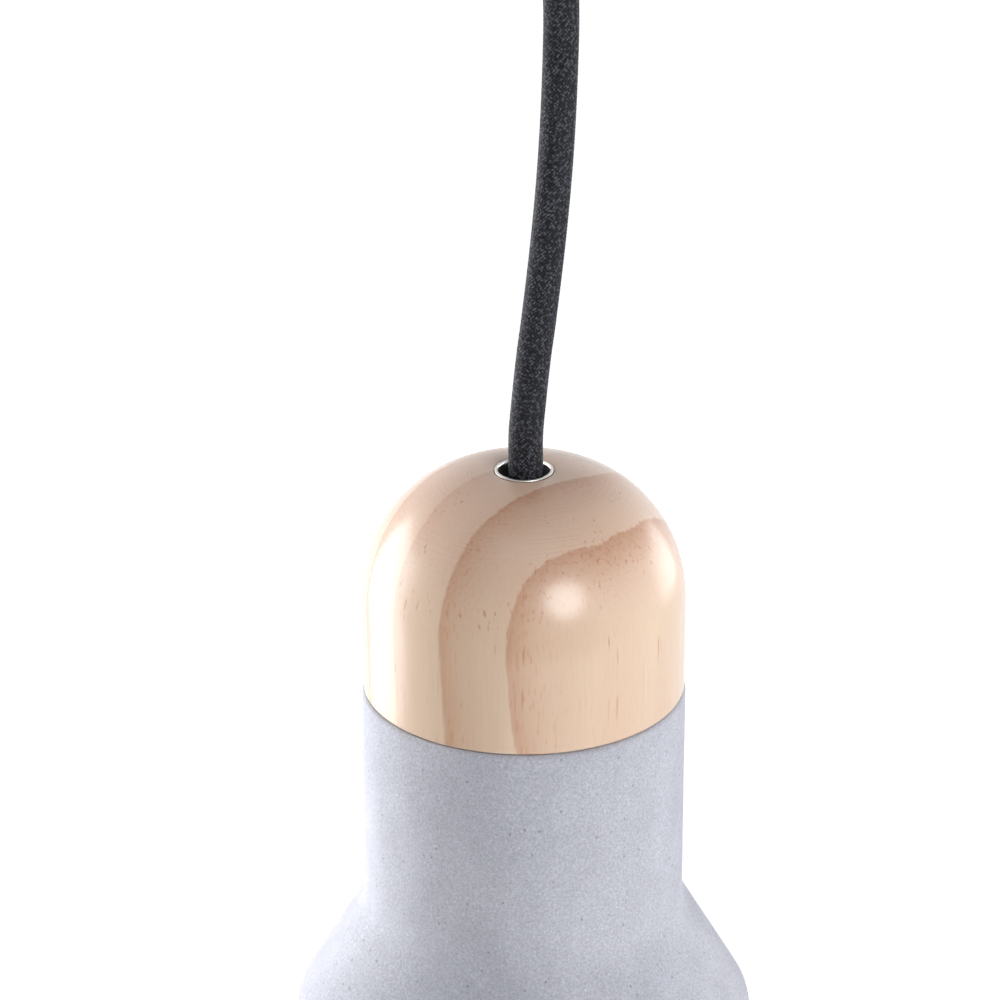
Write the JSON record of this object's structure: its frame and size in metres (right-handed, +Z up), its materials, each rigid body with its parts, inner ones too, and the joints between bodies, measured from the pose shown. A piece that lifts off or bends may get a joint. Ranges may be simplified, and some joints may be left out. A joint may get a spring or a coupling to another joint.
{
  "type": "pendant ceiling light",
  "caption": "Pendant ceiling light: cast concrete shade with a turned wooden cap, hung from a steel ceiling canopy on a black braided cord.",
  "frame": {"origin": "centre of the mounting strap's top face, where it meets the ceiling", "axes": "+Z up out of the ceiling face along the light's own axis; +X along the strap, to the right when the light is seen from the front"},
  "size_m": [0.1058, 0.1, 0.383],
  "materials": {
    "concrete": "fine cast surface, matte, with small pits",
    "pine": "turned pine under clear satin lacquer",
    "braid": "black braided textile",
    "nickel": "polished nickel",
    "black_steel": "fine black powder coat",
    "zinc_steel": "zinc plated",
    "brass": "bright pressed brass",
    "black_nylon": "moulded, satin",
    "white_plastic": "moulded, semi-gloss",
    "ceramic": "unglazed steatite",
    "opal": "opal white, semi-gloss",
    "board": "circuit board",
    "brown_core": "insulated core",
    "blue_core": "insulated core",
    "earth_core": "insulated core"
  },
  "bodies": {
    "ceiling_fitting": {"mounting_strap": "zinc_steel", "ceiling_canopy": "black_steel", "canopy_screw_left": "zinc_steel", "canopy_screw_right": "zinc_steel", "cord_grip_body": "black_nylon", "cord_grip_nut": "black_nylon", "cord_grip_screw": "black_nylon", "terminal_block": "white_plastic", "terminal_sleeve_live": "brass", "terminal_sleeve_earth": "brass", "terminal_sleeve_neutral": "brass", "terminal_screw_live": "zinc_steel", "terminal_screw_earth": "zinc_steel", "terminal_screw_neutral": "zinc_steel", "strap_earth_screw": "brass", "cord_tail": "braid", "live_core_upper": "brown_core", "neutral_core_upper": "blue_core", "earth_core_upper": "earth_core", "earth_link_wire": "earth_core"},
    "cord_swivel": {"cord_neck": "braid"},
    "pendant": {"hanging_cord": "braid", "inner_cord": "braid", "concrete_shade": "concrete", "threaded_nipple": "zinc_steel", "upper_washer": "zinc_steel", "lower_washer": "zinc_steel", "nipple_nut": "zinc_steel", "strain_relief": "black_nylon", "strain_relief_screw": "black_nylon", "lampholder_cap": "nickel", "lampholder_earth_screw": "brass", "lampholder_insert": "ceramic", "holder_screw_live": "brass", "holder_screw_neutral": "brass", "lampholder_skirt": "black_nylon", "socket_thread_shell": "brass", "centre_contact": "brass", "live_core_lower": "brown_core", "neutral_core_lower": "blue_core", "earth_core_lower": "earth_core"},
    "cap": {"wooden_cap": "pine", "cord_ferrule": "nickel"},
    "bulb_carriage": {"bulb_contact": "zinc_steel"},
    "bulb": {"bulb_insulator": "black_nylon", "bulb_screw_shell": "zinc_steel", "bulb_collar": "white_plastic", "bulb_globe": "opal", "bulb_led_board": "white_plastic", "bulb_driver_board": "board"}
  },
  "joints": [
    {"name": "cord_twist", "type": "hinge", "parent": "ceiling_fitting", "child": "cord_swivel", "pos_m": [0, 0, -0.044], "axis": [0, 0, 1], "range_deg": [-180, 180], "stiffness_Nm_per_rad": 0.02},
    {"name": "pendant_swing", "type": "hinge", "parent": "cord_swivel", "child": "pendant", "pos_m": [0, 0, -0.044], "axis": [0, 1, 0], "range_deg": [-30, 30]},
    {"name": "cap_lift", "type": "slide", "parent": "pendant", "child": "cap", "axis": [0, 0, 1], "range_m": [0, 0.018]},
    {"name": "bulb_drop", "type": "slide", "parent": "pendant", "child": "bulb_carriage", "axis": [0, 0, -1], "range_m": [0, 0.02]},
    {"name": "bulb_unscrew", "type": "hinge", "parent": "bulb_carriage", "child": "bulb", "pos_m": [0, 0, -0.287], "axis": [0, 0, -1], "range_deg": [0, 1980]}
  ],
  "couplings": [
    {"joint": "bulb_drop", "follows": "bulb_unscrew", "m_per_rad": 0.00057759}
  ]
}
